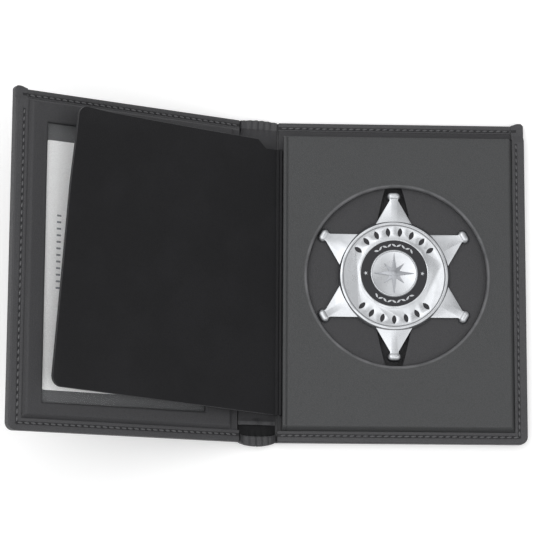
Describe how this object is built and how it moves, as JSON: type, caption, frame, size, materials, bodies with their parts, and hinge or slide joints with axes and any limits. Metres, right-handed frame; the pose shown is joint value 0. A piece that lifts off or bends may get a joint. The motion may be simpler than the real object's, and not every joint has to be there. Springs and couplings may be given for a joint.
{
  "type": "id badge wallet",
  "caption": "Book-style leather wallet: a padded cover with a round recess for a pinned star badge, a window pocket for an ID card on the other cover, and a leather flap between them.",
  "frame": {"origin": "centre of the badge cover's outer face, which lies on the table", "axes": "+X to the badge cover's outer side, away from the spine; +Y up the wallet's height; +Z out of the table, towards the badge"},
  "size_m": [0.1691, 0.1088, 0.0482],
  "materials": {
    "black_leather": "fine grain, satin",
    "panel_leather": "pebbled grain, satin",
    "lining_leather": "smooth, matt",
    "flap_leather": "fine grain, satin",
    "board": "matt",
    "pad": "felt, matt",
    "clear_window": "clear, gloss",
    "card_stock": "satin",
    "silver_plate": "polished, die-struck",
    "dark_enamel": "gloss",
    "pin_metal": "satin"
  },
  "bodies": {
    "badge_cover": {"badge_cover_leather": "black_leather", "badge_cover_board": "board", "badge_pocket_lining": "lining_leather", "recess_floor": "lining_leather", "badge_strap": "black_leather", "recess_pad": "pad", "badge_face_panel": "panel_leather", "badge_star": "silver_plate", "badge_seal": "silver_plate", "seal_rosette": "silver_plate", "enamel_ring": "dark_enamel", "enamel_marks": "dark_enamel", "pin_hinge_base": "pin_metal", "pin_hinge_rivet": "pin_metal", "catch_housing": "pin_metal", "flap_welt": "black_leather"},
    "pin": {"pin_stem": "pin_metal"},
    "catch": {"catch_rotor": "pin_metal"},
    "spine": {"spine_leather": "black_leather", "spine_lining": "lining_leather"},
    "id_cover": {"id_cover_leather": "black_leather", "id_cover_board": "board", "id_pocket_lining": "lining_leather", "id_window": "clear_window", "id_window_frame": "panel_leather"},
    "card": {"id_card": "card_stock"},
    "flap_root": {"flap_hinge_roll": "black_leather"},
    "flap": {"flap_front_leather": "flap_leather", "flap_back_leather": "flap_leather"}
  },
  "joints": [
    {"name": "spine_fold", "type": "hinge", "parent": "badge_cover", "child": "spine", "pos_m": [-0.0421, 0, 0.00045], "axis": [0, 1, 0], "range_deg": [-15, 75]},
    {"name": "cover_fold", "type": "hinge", "parent": "spine", "child": "id_cover", "pos_m": [-0.05384, 0, 0.00359], "axis": [0, 1, 0], "range_deg": [-15, 75]},
    {"name": "flap_follow", "type": "hinge", "parent": "badge_cover", "child": "flap_root", "pos_m": [-0.04025, 0, 0.00653], "axis": [0, 1, 0], "range_deg": [-30, 150]},
    {"name": "flap_turn", "type": "hinge", "parent": "flap_root", "child": "flap", "pos_m": [-0.04002, 0, 0.00691], "axis": [0, -1, 0], "range_deg": [-146, 0]},
    {"name": "card_slide", "type": "slide", "parent": "id_cover", "child": "card", "axis": [0, 1, 0], "range_m": [-0.007, 0.075]},
    {"name": "pin_swing", "type": "hinge", "parent": "badge_cover", "child": "pin", "pos_m": [-0.00235, 0.0146, 0.00303], "axis": [-1, 0, 0], "range_deg": [-0.8, 0]},
    {"name": "catch_turn", "type": "hinge", "parent": "badge_cover", "child": "catch", "pos_m": [-0.00235, -0.0114, 0.00303], "axis": [0, -1, 0], "range_deg": [0, 90]}
  ],
  "couplings": [
    {"joint": "cover_fold", "follows": "spine_fold", "ratio": 1},
    {"joint": "flap_follow", "follows": "spine_fold", "ratio": 2}
  ]
}
